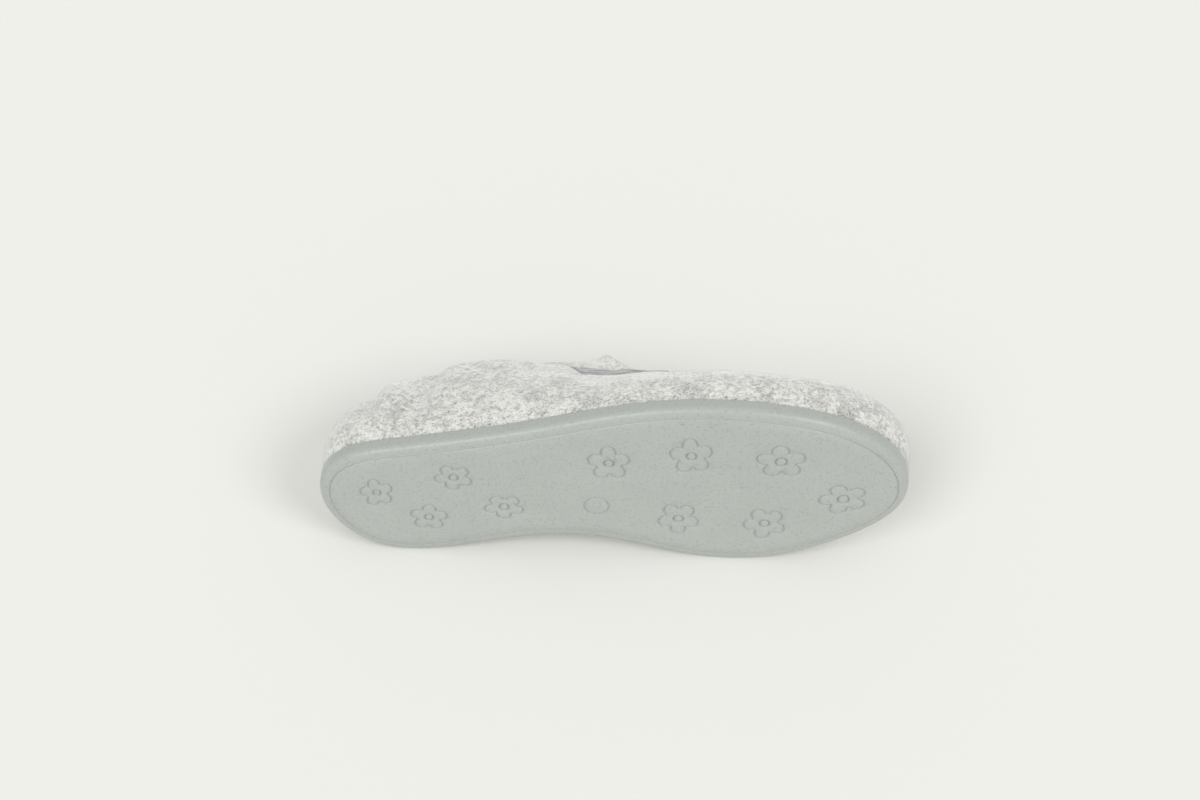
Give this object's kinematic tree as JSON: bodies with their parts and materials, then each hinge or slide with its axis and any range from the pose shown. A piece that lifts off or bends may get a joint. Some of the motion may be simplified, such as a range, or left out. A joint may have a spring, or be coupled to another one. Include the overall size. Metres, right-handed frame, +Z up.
{
  "type": "felt house slipper",
  "caption": "Right wool-felt house slipper with a closed slack heel, arched tongue and flat grey moulded sole, lying on its inner side.",
  "frame": {"origin": "on the floor under the middle of the bounding box", "axes": "+X from heel to toe, tread towards -Y, outer side of the foot up along +Z"},
  "size_m": [0.2608, 0.0644, 0.0969],
  "materials": {
    "sole_rubber": "satin moulded grey",
    "upper_felt": "matt heather wool felt",
    "tongue_felt": "matt heather wool felt",
    "gusset_elastic": "matt ribbed elastic",
    "insole_felt": "matt felt"
  },
  "bodies": {
    "root": {"outsole": "sole_rubber", "upper": "upper_felt", "tongue": "tongue_felt", "gusset": "gusset_elastic", "insole": "insole_felt"}
  },
  "joints": []
}
